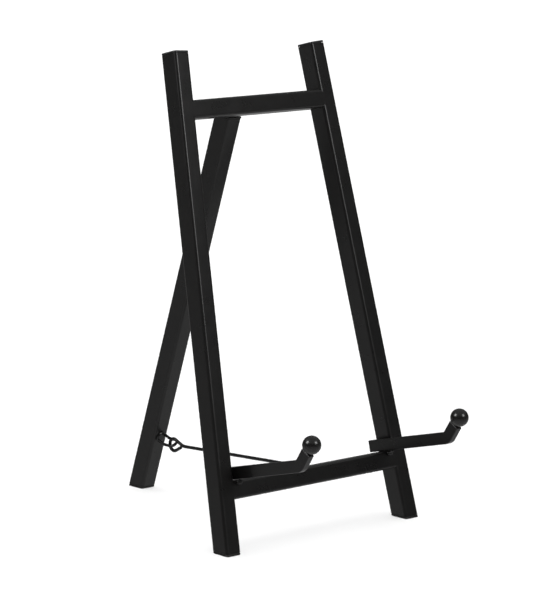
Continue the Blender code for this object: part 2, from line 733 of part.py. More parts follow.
SIDE_CUTTERS = [leg_side_cutter(side, word) for side, word in SIDES]
for side, word in SIDES:
    front_leg(side, word)
    top_plug(side, word)
    foot_pad(f"{word}_foot_pad", FRAME, leg_matrix(side), 0.0,
             TUBE_D / 2 * math.tan(LEAN))
    hook_arm(side, word)
    ball_tip(side, word)
    arm_weld(side, word)
crossbar("top_crossbar", TOP_BAR_UP, SIDE_CUTTERS)
crossbar("bottom_crossbar", BOTTOM_BAR_UP, SIDE_CUTTERS)
frame_leaf()
hinge_pin()
bar_eye()
leg_leaf()
rear_leg()
rear_foot_pad()
leg_eye_weld()
leg_eye()
stay_hook()
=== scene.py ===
"""Folding tabletop display easel: painted steel tube frame, hook arms with ball tips, hinged rear
leg and wire stay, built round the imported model."""
import json
import math

import bpy
from mathutils import Matrix, Vector


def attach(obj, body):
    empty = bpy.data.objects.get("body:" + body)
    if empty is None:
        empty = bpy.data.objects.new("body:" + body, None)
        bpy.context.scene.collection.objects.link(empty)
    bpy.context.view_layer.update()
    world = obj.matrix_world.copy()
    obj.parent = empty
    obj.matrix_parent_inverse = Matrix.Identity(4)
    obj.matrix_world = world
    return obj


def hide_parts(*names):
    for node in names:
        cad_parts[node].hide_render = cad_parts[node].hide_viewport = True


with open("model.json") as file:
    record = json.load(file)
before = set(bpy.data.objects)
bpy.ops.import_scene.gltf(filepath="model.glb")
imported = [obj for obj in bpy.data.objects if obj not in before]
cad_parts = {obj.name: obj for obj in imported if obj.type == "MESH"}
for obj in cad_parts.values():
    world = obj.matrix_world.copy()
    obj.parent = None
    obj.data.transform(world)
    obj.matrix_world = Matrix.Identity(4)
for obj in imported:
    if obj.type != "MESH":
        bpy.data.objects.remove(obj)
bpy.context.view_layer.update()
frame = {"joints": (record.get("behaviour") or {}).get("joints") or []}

MM = 0.001

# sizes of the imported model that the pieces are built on, in millimetres
LEAN = math.radians(14.1)
LEG_LENGTH = 336.0             # floor to leg top, measured up the frame's plane
FOOT_SPACING = 165.7           # front legs, centre to centre at the floor
TOP_SPACING = 123.6
TUBE_W = 12.5
TUBE_D = 15.0
TUBE_WALL = 1.2
TUBE_EDGE_R = 2.0
TOP_BAR_UP = 290.0
BOTTOM_BAR_UP = 36.5
SPLAY = math.atan((FOOT_SPACING - TOP_SPACING) / 2 / LEG_LENGTH)
LEG_RUN = LEG_LENGTH / math.cos(SPLAY)
FRAME_FOOT_Y = -69.0443        # where the legs' front faces meet the table
CAP_T = 1.5
CAP_EDGE = 0.5
PLUG_DEPTH = 8.0               # length of a plug's stub below its cap
STUB_CLEAR = 0.15              # stub inside the tube's wall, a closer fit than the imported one

ARM_X = 68.1672
ARM_T = 4.8
ARM_H = 8.3
ARM_UP = 49.5
ARM_OUT = 59.8
ARM_BACK = 14.8
ARM_BEND = math.radians(43.5)
ARM_TIP = 10.6
ARM_BEND_R = 3.0               # outside of the bend
ARM_CREASE_R = 0.9             # inside of the bend
ARM_EDGE = 0.55
BEAD_SIZE = (2.5, 1.1, 1.8)    # half sizes
BEAD_BESIDE = 1.6              # bead's middle beside the arm's, in front of the bar, below the arm
BEAD_AHEAD = 0.9
BEAD_BELOW = 2.0
BEAD_RIPPLES = 5
BEAD_SWELL = 0.07
BALL_D = 12.5
BALL_FLAT = 0.45
GAP = 0.3                      # clearance left where two pieces meet

REAR_LEAN = math.radians(17.75)
PIN_IN_LEG = 5.0
BARREL_R = 2.0
PIN_R = 1.0
HINGE_L = 12.5
HINGE_MID = 4.4
LEAF_T = 0.8
LEG_LEAF_W = 11.0
LEAF_FLANGE = 9.0
PIN_RISE = 5.0                 # pin above the top crossbar's underside
PIN_SETBACK = 15.0             # pin behind the top crossbar's back face
PIN_UP = TOP_BAR_UP + PIN_RISE
PIN_BACK = TUBE_D + PIN_SETBACK
PIN_HEAD_R = 1.6
PIN_HEAD_T = 0.7
PIN_HEAD_EDGE = 0.45
PIN_CLEAR = 0.1
FLANGE_CORNER_R = 1.6
LEG_LEAF_CORNER_R = 1.0

STAY_WIRE = 2.4
EYE_WIRE = 2.1
WIRE_CLEAR = 0.3
EYE_UP = 39.8                  # height above the table where the eye leaves the rear leg
EYE_STUB = 7.5                 # square to the leg before the eye levels out
EYE_REACH = 6.3                # level length up to the eye's round end
EYE_TURN = math.radians(54.0)  # the eye's flat side, turned from upright
EYE_BEND_R = 5.0
EYE_PAD_R = 3.9
EYE_PAD_T = 1.0
EYE_PAD_EDGE = 0.3
WIRE_END_EDGE = 0.2
LOOP_BORE_R = 3.1              # clear inside of the stay's end loop
LOOP_R = LOOP_BORE_R + STAY_WIRE / 2
LOOP_NECK = 9.8                # loop centre to the point where the loop closes
LOOP_OPEN = STAY_WIRE + WIRE_CLEAR    # wire end left short of that point
HOOK_DROP = 9.0
HOOK_BEND_R = 2.6
HOOK_ABOVE_BAR = 0.8           # stay's middle line above the bottom crossbar where it turns down
HOOK_BEHIND_BAR = 1.3          # bare space between the hook and the crossbar
BAR_EYE_DOWN = 4.6             # bar eye below the bottom crossbar's top
HOOK_UP = BOTTOM_BAR_UP + TUBE_W + HOOK_ABOVE_BAR
HOOK_BACK = TUBE_D + HOOK_BEHIND_BAR + STAY_WIRE / 2
BAR_EYE_UP = BOTTOM_BAR_UP + TUBE_W - BAR_EYE_DOWN
BAR_EYE_HALF = STAY_WIRE / 2 + WIRE_CLEAR + EYE_WIRE / 2
EYE_HALF = BAR_EYE_HALF / math.sin(EYE_TURN)

JOINTS = {joint["name"]: joint for joint in frame["joints"]}
PIN = Vector(JOINTS["rear_leg_fold"]["pos_m"]) / MM
LOOP = Vector(JOINTS["stay_swing"]["pos_m"]) / MM

IN_FRAME = Matrix.Translation((0, FRAME_FOOT_Y, 0)) @ Matrix.Rotation(-LEAN, 4, "X")
IN_REAR_LEG = Matrix.Translation(PIN) @ Matrix.Rotation(REAR_LEAN, 4, "X")
SIDES = ((-1, "left"), (1, "right"))

# how finely round shapes are made, and the angle above which an edge is shaded sharp
CORNER_STEPS = 8
CAP_STEPS = 4
CREASE_STEPS = 5
BEND_STEPS = 10
WIRE_BEND_STEPS = 12
HALF_TURN_STEPS = 24
LOOP_STEPS = 48
WIRE_ROUNDNESS = 6
ROUND_SIDES = 64
BALL_SIDES, BALL_RINGS = 72, 48
BEAD_SIDES, BEAD_RINGS = 48, 32
SHARP_ABOVE = 32.0
WIRE_SHARP_ABOVE = 60.0

ALONG = 0.99                   # least cosine at which a direction counts as along an axis
SAW_REACH = 400.0              # a saw block clears the whole easel


# ------------------------------------------------------------------ bench work

def put_tools_down():
    """Leave edit mode and select nothing."""
    if bpy.context.object and bpy.context.object.mode != "OBJECT":
        bpy.ops.object.mode_set(mode="OBJECT")
    bpy.ops.object.select_all(action="DESELECT")


def take(piece):
    """Select one piece alone and make it the active one."""
    put_tools_down()
    piece.select_set(True)
    bpy.context.view_layer.objects.active = piece


def block(name, low, high):
    """Block between two corners given in millimetres."""
    put_tools_down()
    low, high = Vector(low), Vector(high)
    bpy.ops.mesh.primitive_cube_add(size=1.0, location=(low + high) / 2, scale=high - low)
    piece = bpy.context.object
    piece.name = piece.data.name = name
    bpy.ops.object.transform_apply(location=True, rotation=True, scale=True)
    return piece


def mark(piece, kind, wanted):
    """Select the faces or edges that wanted() accepts, and go into edit mode."""
    take(piece)
    bpy.context.tool_settings.mesh_select_mode = (False, kind == "EDGE", kind == "FACE")
    mesh = piece.data
    for group in (mesh.vertices, mesh.edges, mesh.polygons):
        for item in group:
            item.select = False
    if kind == "FACE":
        for face in mesh.polygons:
            face.select = wanted(face.center, face.normal)
    else:
        for edge in mesh.edges:
            a, b = (mesh.vertices[i].co for i in edge.vertices)
            edge.select = wanted((a + b) / 2, (b - a).normalized())
    bpy.ops.object.mode_set(mode="EDIT")


def round_marked(width, steps):
    """Round the marked edges, and leave edit mode."""
    bpy.ops.mesh.bevel(offset=width, offset_type="OFFSET", segments=steps, profile=0.5,
                       affect="EDGES")
    bpy.ops.object.mode_set(mode="OBJECT")


def set_in_place(piece, matrix):
    """Move a piece from its own frame to the easel, and leave its place in its mesh."""
    take(piece)
    piece.matrix_world = matrix
    bpy.ops.object.transform_apply(location=True, rotation=True, scale=True)


def apply(piece, kind, **settings):
    """Give a piece one modifier and apply it."""
    take(piece)
    modifier = piece.modifiers.new(kind.lower(), kind)
    for key, value in settings.items():
        setattr(modifier, key, value)
    bpy.ops.object.modifier_apply(modifier=modifier.name)


def break_edges(piece, width, steps, sharper_than):
    """Round every edge that turns by more than an angle given in degrees."""
    apply(piece, "BEVEL", width=width, segments=steps, limit_method="ANGLE",
          angle_limit=math.radians(sharper_than))


def work_with(piece, tool, operation="DIFFERENCE"):
    """Cut, join or trim a piece with another solid, and throw the tool away."""
    apply(piece, "BOOLEAN", object=tool, operation=operation, solver="EXACT")
    bpy.data.objects.remove(tool, do_unlink=True)


def to_metres(piece):
    """Shrink a piece modelled in millimetres about the easel's origin."""
    take(piece)
    bpy.ops.transform.resize(value=(MM, MM, MM), center_override=(0, 0, 0))
    bpy.ops.object.transform_apply(location=True, rotation=True, scale=True)


def hand_over(piece, body, material, node, sharp=SHARP_ABOVE):
    """Last steps for every piece: metres, shading, finish, body, and the node it stands for."""
    to_metres(piece)
    take(piece)
    bpy.ops.object.shade_smooth_by_angle(angle=math.radians(sharp))
    apply(piece, "WEIGHTED_NORMAL", mode="FACE_AREA", weight=80, keep_sharp=True)
    piece.data.materials.clear()
    piece.data.materials.append(material)
    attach(piece, body)
    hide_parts(node)


# ------------------------------------------------------------------ finishes

class Finish:
    """A painted or bare surface, with the wiring that its bumps and blotches share."""

    def __init__(self, name, specular):
        self.material = bpy.data.materials.new(name)
        self.material.use_nodes = True
        self.tree = self.material.node_tree
        self.shader = self.tree.nodes["Principled BSDF"]
        self.shader.inputs["Specular IOR Level"].default_value = specular
        self.place = self.tree.nodes.new("ShaderNodeTexCoord").outputs["Object"]

    def link(self, output, target):
        self.tree.links.new(output, target)

    def noise(self, scale, detail=3.0, rough=0.5):
        node = self.tree.nodes.new("ShaderNodeTexNoise")
        node.inputs["Scale"].default_value = scale
        node.inputs["Detail"].default_value = detail
        node.inputs["Roughness"].default_value = rough
        self.link(self.place, node.inputs["Vector"])
        return node.outputs["Fac"]

    def spread(self, source, low_in, high_in, low_out, high_out):
        node = self.tree.nodes.new("ShaderNodeMapRange")
        for key, value in (("From Min", low_in), ("From Max", high_in),
                           ("To Min", low_out), ("To Max", high_out)):
            node.inputs[key].default_value = value
        self.link(source, node.inputs["Value"])
        return node.outputs["Result"]

    def sum(self, a, b):
        node = self.tree.nodes.new("ShaderNodeMath")
        node.operation = "ADD"
        self.link(a, node.inputs[0])
        self.link(b, node.inputs[1])
        return node.outputs["Value"]

    def tint(self, source, dark, light):
        node = self.tree.nodes.new("ShaderNodeMix")
        node.data_type = "RGBA"
        node.inputs["A"].default_value = (*dark, 1.0)
        node.inputs["B"].default_value = (*light, 1.0)
        self.link(source, node.inputs["Factor"])
        return node.outputs["Result"]

    def bump(self, height, distance, strength, under=None):
        node = self.tree.nodes.new("ShaderNodeBump")
        node.inputs["Distance"].default_value = distance
        node.inputs["Strength"].default_value = strength
        self.link(height, node.inputs["Height"])
        if under is not None:
            self.link(under, node.inputs["Normal"])
        return node.outputs["Normal"]


def satin_paint():
    """Sprayed satin black: faint orange peel, uneven sheen, a few dust nibs."""
    paint = Finish("satin_black_paint", specular=0.45)
    blotch = paint.noise(38.0, 4.0, 0.55)
    paint.link(paint.tint(paint.spread(blotch, 0.3, 0.7, 0.0, 1.0),
                          (0.0040, 0.0038, 0.0037), (0.0056, 0.0052, 0.0049)),
               paint.shader.inputs["Base Color"])
    sheen = paint.spread(paint.noise(95.0, 4.0, 0.55), 0.3, 0.7, 0.27, 0.31)
    dust = paint.noise(1500.0, 2.0, 0.5)
    dull_nibs = paint.spread(dust, 0.70, 0.78, 0.0, 0.10)
    paint.link(paint.sum(sheen, dull_nibs), paint.shader.inputs["Roughness"])
    peel = paint.bump(paint.noise(520.0, 3.0, 0.5), 0.00008, 0.10)
    raised_nibs = paint.bump(paint.spread(dust, 0.72, 0.80, 0.0, 1.0), 0.00004, 0.35, peel)
    paint.link(raised_nibs, paint.shader.inputs["Normal"])
    return paint.material


def gloss_enamel():
    """Dipped gloss black for the ball tips."""
    enamel = Finish("gloss_black_enamel", specular=0.5)
    enamel.link(enamel.tint(enamel.noise(160.0, 3.0, 0.5),
                            (0.0048, 0.0047, 0.0044), (0.0070, 0.0068, 0.0062)),
                enamel.shader.inputs["Base Color"])
    enamel.link(enamel.spread(enamel.noise(300.0, 4.0, 0.6), 0.3, 0.7, 0.20, 0.27),
                enamel.shader.inputs["Roughness"])
    enamel.link(enamel.bump(enamel.noise(240.0, 2.0, 0.5), 0.00010, 0.16),
                enamel.shader.inputs["Normal"])
    return enamel.material


def blackened_wire():
    """Blackened drawn steel, oily dark, rubbed a little lighter in places."""
    wire = Finish("blackened_drawn_steel", specular=0.42)
    rub = wire.spread(wire.noise(210.0, 4.0, 0.65), 0.45, 0.80, 0.0, 1.0)
    wire.link(wire.tint(rub, (0.0030, 0.0030, 0.0030), (0.0068, 0.0065, 0.0062)),
              wire.shader.inputs["Base Color"])
    wire.link(wire.spread(wire.noise(420.0, 3.0, 0.6), 0.3, 0.7, 0.18, 0.28),
              wire.shader.inputs["Roughness"])
    wire.link(wire.bump(wire.noise(900.0, 3.0, 0.6), 0.00004, 0.15),
              wire.shader.inputs["Normal"])
    return wire.material


def moulded_plastic():
    """Black moulded plastic of the end plugs and foot pads, finely grained."""
    plastic = Finish("moulded_black_plastic", specular=0.4)
    plastic.link(plastic.tint(plastic.noise(90.0, 3.0, 0.5),
                              (0.0055, 0.0055, 0.0056), (0.0085, 0.0084, 0.0082)),
                 plastic.shader.inputs["Base Color"])
    plastic.link(plastic.spread(plastic.noise(240.0, 3.0, 0.5), 0.3, 0.7, 0.38, 0.48),
                 plastic.shader.inputs["Roughness"])
    plastic.link(plastic.bump(plastic.noise(2200.0, 2.0, 0.5), 0.00004, 0.30),
                 plastic.shader.inputs["Normal"])
    return plastic.material


PAINT = satin_paint()
ENAMEL = gloss_enamel()
STEEL = blackened_wire()
PLASTIC = moulded_plastic()


# ------------------------------------------------------------------ tube frame

FLUSH = 0.02                   # a crossbar's faces sit this far inside the legs'
WELD_IN = TUBE_EDGE_R + 0.1    # how far a crossbar's end runs into a leg
LEAST_CORNER_R = 0.6           # of a plug's stub, whose corners sit inside the tube's


def tube_stock(name, low, high, front=0.0, shrink=0.0):
    """Solid of the tube's outline, standing along Z with its front face at y = front."""
    half = TUBE_W / 2 - shrink
    stock = block(name, (-half, front + shrink, low), (half, front + TUBE_D - shrink, high))
    mark(stock, "EDGE", lambda middle, along: abs(along.z) > ALONG)
    round_marked(max(TUBE_EDGE_R - shrink, LEAST_CORNER_R), CORNER_STEPS)
    return stock


def make_hollow(tube, axis):
    """Take the ends off a length of stock and give what is left the tube's wall."""
    mark(tube, "FACE", lambda middle, normal: abs(normal[axis]) > ALONG)
    bpy.ops.mesh.delete(type="FACE")
    bpy.ops.object.mode_set(mode="OBJECT")
    apply(tube, "SOLIDIFY", thickness=TUBE_WALL, offset=-1.0, use_even_offset=True, use_rim=True)


def leg_place(side):
    """Place of a front leg: its foot at the frame's corner, splayed, leaning back."""
    foot = Matrix.Translation((side * FOOT_SPACING / 2, 0, 0))
    return IN_FRAME @ foot @ Matrix.Rotation(-side * SPLAY, 4, "Y")


def level_foot(leg):
    """Cut a leg off level, just above its pad."""
    work_with(leg, block("saw", (-SAW_REACH, -SAW_REACH, -SAW_REACH),
                         (SAW_REACH, SAW_REACH, CAP_T + GAP)))


def front_leg(side, word):
    """Tube from just under its plug down to its pad."""
    leg = tube_stock(f"{word}_front_leg_tube", -TUBE_D, LEG_RUN - CAP_T - GAP)
    make_hollow(leg, 2)
    set_in_place(leg, leg_place(side))
    level_foot(leg)
    hand_over(leg, "front_frame", PAINT, f"{word}_front_leg")


def crossbar(word, up):
    """Crossbar whose ends run just past the legs' rounded corners, so the fronts run flush."""
    half = FOOT_SPACING / 2
    bar = block(f"{word}_crossbar_tube", (-half, FLUSH, up), (half, TUBE_D - FLUSH, up + TUBE_W))
    mark(bar, "EDGE", lambda middle, along: abs(along.x) > ALONG)
    round_marked(TUBE_EDGE_R, CORNER_STEPS)
    make_hollow(bar, 0)
    for side, _ in SIDES:
        near, far = -side * (TUBE_W / 2 - WELD_IN), side * FOOT_SPACING
        saw = block("saw", (min(near, far), -FOOT_SPACING, up - FOOT_SPACING),
                    (max(near, far), FOOT_SPACING, up + FOOT_SPACING))
        set_in_place(saw, IN_FRAME.inverted() @ leg_place(side))
        work_with(bar, saw)
    set_in_place(bar, IN_FRAME)
    hand_over(bar, "front_frame", PAINT, f"{word}_crossbar")


def top_plug(side, word):
    """Cap over the tube's end, on a stub that fits inside the tube."""
    plug = tube_stock(f"{word}_end_plug", LEG_RUN - CAP_T, LEG_RUN)
    mark(plug, "EDGE", lambda middle, along: middle.z > LEG_RUN - 0.01 and abs(along.z) < 0.5)
    round_marked(CAP_EDGE, CAP_STEPS)
    stub = tube_stock("stub", LEG_RUN - CAP_T - PLUG_DEPTH, LEG_RUN - CAP_T / 2,
                      shrink=TUBE_WALL + STUB_CLEAR)
    work_with(plug, stub, "UNION")
    set_in_place(plug, leg_place(side))
    hand_over(plug, "front_frame", PLASTIC, f"{word}_top_plug")


def foot_pad(name, node, body, matrix, front, level):
    """Slice of the leg's outline, cut level, that closes the leg at the table."""
    pad = tube_stock(name, level - TUBE_D, level + TUBE_D, front)
    set_in_place(pad, matrix)
    work_with(pad, block("saw", (-SAW_REACH, -SAW_REACH, CAP_T),
                         (SAW_REACH, SAW_REACH, SAW_REACH)))
    work_with(pad, block("saw", (-SAW_REACH, -SAW_REACH, -SAW_REACH),
                         (SAW_REACH, SAW_REACH, 0.0)))
    mark(pad, "EDGE", lambda middle, along: abs(along.z) < 0.2)
    round_marked(CAP_EDGE, CAP_STEPS)
    hand_over(pad, body, PLASTIC, node)


# ------------------------------------------------------------------ hook arms

def hook_arm(side, word):
    """Flat bar: a straight run, a mitred bend, the upturned end, then rounded edges."""
    x_low, x_high = side * ARM_X - ARM_T / 2, side * ARM_X + ARM_T / 2
    top = ARM_UP + ARM_H
    arm = block(f"{word}_hook_bar", (x_low, -ARM_OUT, ARM_UP), (x_high, ARM_BACK, top))
    lean_out = ARM_H * math.tan(ARM_BEND / 2)
    for corner in arm.data.vertices:
        if corner.co.y < 0 and corner.co.z < top - 1:
            corner.co.y -= lean_out
    mark(arm, "FACE", lambda middle, normal: middle.y < -ARM_OUT)
    bpy.ops.mesh.extrude_region_move(TRANSFORM_OT_translate={
        "value": (0, -ARM_TIP * math.cos(ARM_BEND), ARM_TIP * math.sin(ARM_BEND))})
    bpy.ops.object.mode_set(mode="OBJECT")
    tip_along = Vector((0, -math.cos(ARM_BEND), math.sin(ARM_BEND)))
    inner = Vector((0, -ARM_OUT, top)) + tip_along * ARM_TIP
    for corner in arm.data.vertices:
        ahead = (Vector((0, corner.co.y, corner.co.z)) - inner).dot(tip_along)
        if corner.select:
            corner.co -= tip_along * ahead
    outer_y = -(ARM_OUT + lean_out)
    mark(arm, "EDGE", lambda middle, along: abs(along.x) > ALONG
         and abs(middle.y - outer_y) < 0.3 and middle.z < ARM_UP + 1)
    round_marked(ARM_BEND_R, BEND_STEPS)
    mark(arm, "EDGE", lambda middle, along: abs(along.x) > ALONG
         and abs(middle.y + ARM_OUT) < 0.3 and middle.z > top - 1)
    round_marked(ARM_CREASE_R, CREASE_STEPS)
    break_edges(arm, ARM_EDGE, 4, 40.0)
    set_in_place(arm, IN_FRAME)
    hand_over(arm, "front_frame", PAINT, f"{word}_hook_arm")


def ball_place(side):
    """Place of a ball on its arm's end, turned so that its seat faces the arm."""
    reach = ARM_TIP + GAP + BALL_D / 2 - BALL_FLAT
    forward = ARM_OUT + reach * math.cos(ARM_BEND) + ARM_H / 2 * math.sin(ARM_BEND)
    up = ARM_UP + ARM_H + reach * math.sin(ARM_BEND) - ARM_H / 2 * math.cos(ARM_BEND)
    centre = Matrix.Translation((side * ARM_X, -forward, up))
    return IN_FRAME @ centre @ Matrix.Rotation(math.pi / 2 - ARM_BEND, 4, "X")


def ball_tip(side, word):
    """Ball with its seat pulled out into a short weld neck."""
    put_tools_down()
    bpy.ops.mesh.primitive_uv_sphere_add(segments=BALL_SIDES, ring_count=BALL_RINGS,
                                         radius=BALL_D / 2)
    ball = bpy.context.object
    ball.name = ball.data.name = f"{word}_ball"
    seat = -(BALL_D / 2 - BALL_FLAT)
    take(ball)
    bpy.ops.object.mode_set(mode="EDIT")
    bpy.ops.mesh.select_all(action="SELECT")
    bpy.ops.mesh.bisect(plane_co=(0, 0, seat), plane_no=(0, 0, -1), use_fill=True,
                        clear_outer=True)
    bpy.ops.object.mode_set(mode="OBJECT")
    mark(ball, "FACE", lambda middle, normal: normal.z < -ALONG and middle.z < seat + 0.01)
    bpy.ops.mesh.extrude_region_move(TRANSFORM_OT_translate={"value": (0, 0, -GAP)})
    bpy.ops.object.mode_set(mode="OBJECT")
    set_in_place(ball, ball_place(side))
    hand_over(ball, "front_frame", ENAMEL, f"{word}_ball_tip")


def weld_bead(side, word):
    """Short weld bead under an arm, with the ripples of its puddles."""
    put_tools_down()
    bpy.ops.mesh.primitive_uv_sphere_add(segments=BEAD_SIDES, ring_count=BEAD_RINGS, radius=1.0,
                                         rotation=(0, math.pi / 2, 0))
    bead = bpy.context.object
    bead.name = bead.data.name = f"{word}_arm_bead"
    bpy.ops.object.transform_apply(location=True, rotation=True, scale=True)
    length, depth, height = BEAD_SIZE
    for point in bead.data.vertices:
        swell = 1.0 + BEAD_SWELL * math.cos(point.co.x * math.pi * BEAD_RIPPLES)
        point.co = Vector((point.co.x * length, point.co.y * swell * depth,
                           point.co.z * swell * height))
    centre = (side * (ARM_X + BEAD_BESIDE), -(GAP + BEAD_AHEAD), ARM_UP - BEAD_BELOW)
    set_in_place(bead, IN_FRAME @ Matrix.Translation(centre))
    hand_over(bead, "front_frame", PAINT, f"{word}_arm_weld")


# ------------------------------------------------------------------ rear leg and hinge

def rear_leg():
    """Tube from just under the hinge's leg leaf down to its pad."""
    top = -(BARREL_R + GAP + LEAF_T + GAP)
    leg = tube_stock("rear_leg_tube", -PIN.z / math.cos(REAR_LEAN) - 2 * TUBE_D, top,
                     -PIN_IN_LEG)
    make_hollow(leg, 2)
    set_in_place(leg, IN_REAR_LEG)
    level_foot(leg)
    hand_over(leg, "rear_leg", PAINT, "rear_leg")


def rod(name, radius, x_low, x_high, y=0.0, z=0.0):
    """Round bar lying along X."""
    put_tools_down()
    bpy.ops.mesh.primitive_cylinder_add(vertices=ROUND_SIDES, radius=radius, depth=x_high - x_low,
                                        location=((x_low + x_high) / 2, y, z),
                                        rotation=(0, math.pi / 2, 0))
    piece = bpy.context.object
    piece.name = piece.data.name = name
    bpy.ops.object.transform_apply(location=True, rotation=True, scale=True)
    return piece


def hinge_frame_leaf():
    """Angle leaf: flange on the crossbar's back, shelf out to the pin, two knuckles."""
    half, back, low = HINGE_L / 2, TUBE_D + GAP, PIN_UP - BARREL_R
    notch = HINGE_MID / 2 + GAP
    leaf = block("hinge_angle_leaf", (-half, back, low), (half, back + LEAF_T, low + LEAF_FLANGE))
    mark(leaf, "EDGE", lambda middle, along: abs(along.y) > ALONG and middle.z > PIN_UP)
    round_marked(FLANGE_CORNER_R, 6)
    work_with(leaf, block("shelf", (-half, back, low), (half, PIN_BACK, low + LEAF_T)), "UNION")
    for side, _ in SIDES:
        ends = sorted((side * half, side * notch))
        work_with(leaf, rod("knuckle", BARREL_R, ends[0], ends[1], PIN_BACK, PIN_UP), "UNION")
    reach = BARREL_R + GAP
    work_with(leaf, block("notch", (-notch, PIN_BACK - reach, PIN_UP - 2 * reach),
                          (notch, PIN_BACK + reach, PIN_UP + 2 * reach)))
    work_with(leaf, rod("bore", PIN_R + PIN_CLEAR, -HINGE_L, HINGE_L, PIN_BACK, PIN_UP))
    set_in_place(leaf, IN_FRAME)
    hand_over(leaf, "front_frame", STEEL, "hinge_frame_leaf")


def hinge_leg_leaf():
    """Leaf that closes the rear leg's top end and carries the middle knuckle."""
    half, top = HINGE_L / 2, -(BARREL_R + GAP)
    leaf = block("hinge_top_leaf", (-half, -PIN_IN_LEG, top - LEAF_T),
                 (half, LEG_LEAF_W - PIN_IN_LEG, top))
    mark(leaf, "EDGE", lambda middle, along: abs(along.z) > ALONG)
    round_marked(LEG_LEAF_CORNER_R, 5)
    knuckle = HINGE_MID / 2
    foot = block("foot", (-knuckle, -BARREL_R / 2, top - LEAF_T / 2), (knuckle, BARREL_R / 2, 0))
    work_with(leaf, foot, "UNION")
    work_with(leaf, rod("knuckle", BARREL_R, -knuckle, knuckle), "UNION")
    work_with(leaf, rod("bore", PIN_R + PIN_CLEAR, -HINGE_L, HINGE_L))
    set_in_place(leaf, IN_REAR_LEG)
    hand_over(leaf, "rear_leg", STEEL, "hinge_leg_leaf")


def hinge_pin():
    """Pin with a domed head riveted over at each end."""
    reach = HINGE_L / 2 + GAP
    pin = rod("hinge_rivet_pin", PIN_R, -reach - PIN_HEAD_T / 2, reach + PIN_HEAD_T / 2,
              PIN_BACK, PIN_UP)
    for side, _ in SIDES:
        ends = sorted((side * reach, side * (reach + PIN_HEAD_T)))
        head = rod("head", PIN_HEAD_R, ends[0], ends[1], PIN_BACK, PIN_UP)
        mark(head, "EDGE", lambda middle, along: abs(middle.x) > reach + PIN_HEAD_T / 2
             and abs(along.x) < 0.1)
        round_marked(PIN_HEAD_EDGE, 4)
        work_with(pin, head, "UNION")
    set_in_place(pin, IN_FRAME)
    hand_over(pin, "front_frame", STEEL, "hinge_pin")


# ------------------------------------------------------------------ wire stay and eyes

def round_corner(before, corner, after, radius):
    """Points of the arc that a wire takes round a corner."""
    before, corner, after = Vector(before), Vector(corner), Vector(after)
    back, ahead = (before - corner).normalized(), (after - corner).normalized()
    half = back.angle(ahead) / 2
    reach = radius / math.tan(half)
    centre = corner + (back + ahead).normalized() * (radius / math.sin(half))
    start, end = corner + back * reach - centre, corner + ahead * reach - centre
    turn = start.angle(end)
    steps = WIRE_BEND_STEPS
    return [centre + (start * math.sin(turn * (1 - i / steps)) + end * math.sin(turn * i / steps))
            / math.sin(turn) for i in range(steps + 1)]


def half_turn(centre, out, across, radius):
    """Points of the half circle that a wire's round end takes."""
    steps = HALF_TURN_STEPS
    return [centre + across * (radius * math.cos(math.pi * i / steps))
            + out * (radius * math.sin(math.pi * i / steps)) for i in range(steps + 1)]


def bent_wire(name, points, diameter):
    """Wire bent along a line of points, with its cut ends closed and broken."""
    put_tools_down()
    path = bpy.data.curves.new(name, "CURVE")
    path.dimensions = "3D"
    path.bevel_depth = diameter / 2
    path.bevel_resolution = WIRE_ROUNDNESS
    path.use_fill_caps = True
    line = path.splines.new("POLY")
    line.points.add(len(points) - 1)
    for slot, point in zip(line.points, points):
        slot.co = (*point, 1.0)
    piece = bpy.data.objects.new(name, path)
    bpy.context.scene.collection.objects.link(piece)
    take(piece)
    bpy.ops.object.convert(target="MESH")
    piece = bpy.context.object
    bpy.ops.object.mode_set(mode="EDIT")
    bpy.ops.mesh.select_all(action="SELECT")
    bpy.ops.mesh.remove_doubles(threshold=0.001)
    bpy.ops.mesh.normals_make_consistent(inside=False)
    bpy.ops.object.mode_set(mode="OBJECT")
    break_edges(piece, WIRE_END_EDGE, 2, 60.0)
    return piece


def eye_places():
    """Face point, root, elbow and round end of the leg's eye, in the rear leg's frame."""
    root_z = (EYE_UP - PIN.z + PIN_IN_LEG * math.sin(REAR_LEAN)) / math.cos(REAR_LEAN)
    square = Vector((0, -1, 0))
    level = Vector((0, -math.cos(REAR_LEAN), math.sin(REAR_LEAN)))
    face = Vector((0, -PIN_IN_LEG, root_z))
    root = face + square * (2 * GAP + EYE_PAD_T)
    elbow = face + square * EYE_STUB
    return face, root, elbow, elbow + level * EYE_REACH, square, level


def eye_side(ahead):
    """Direction across the eye's flat side where the wire runs ahead."""
    upright = Vector((1, 0, 0)).cross(ahead)
    if upright.z < 0:
        upright.negate()
    return Vector((math.sin(EYE_TURN), 0, 0)) + upright * math.cos(EYE_TURN)


def leg_eye():
    """Two strands out of the pad, bent level and joined by a round end."""
    _, root, elbow, end, square, level = eye_places()
    strands = []
    for way in (1, -1):
        run = [place + eye_side(ahead) * (way * EYE_HALF) for place, ahead in
               ((root, square), (elbow, (square + level).normalized()), (end, level))]
        strands.append([run[0]] + round_corner(*run, EYE_BEND_R))
    arc = half_turn(end, level, eye_side(level), EYE_HALF)
    eye = bent_wire("leg_eye_wire", strands[0] + arc + strands[1][::-1], EYE_WIRE)
    set_in_place(eye, IN_REAR_LEG)
    hand_over(eye, "rear_leg", STEEL, "leg_eye", WIRE_SHARP_ABOVE)


